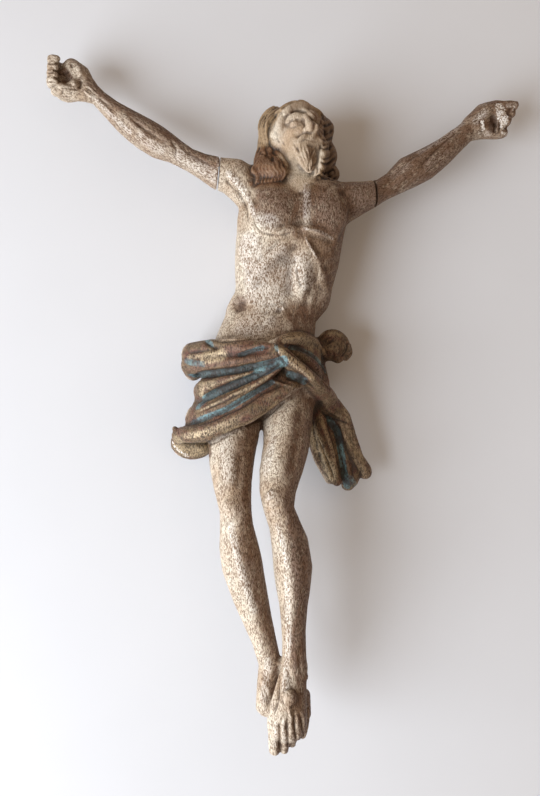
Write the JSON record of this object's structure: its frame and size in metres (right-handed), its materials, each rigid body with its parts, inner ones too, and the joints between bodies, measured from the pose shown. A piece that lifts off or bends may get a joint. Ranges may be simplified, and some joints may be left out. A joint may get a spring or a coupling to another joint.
{
  "type": "crucifix corpus figure",
  "caption": "Carved and painted wooden corpus from a crucifix, arms raised, loincloth with a hanging side tail, lying on its back.",
  "frame": {"origin": "middle of the bounding box's underside, on the surface that the figure's back lies on", "axes": "+Z out of the figure's front, +Y towards its head, +X towards its left arm"},
  "size_m": [0.2346, 0.3156, 0.0524],
  "materials": {
    "painted_wood": "worn matt paint over gesso"
  },
  "bodies": {
    "root": {"figure": "painted_wood", "right_arm": "painted_wood", "left_arm": "painted_wood"}
  },
  "joints": []
}
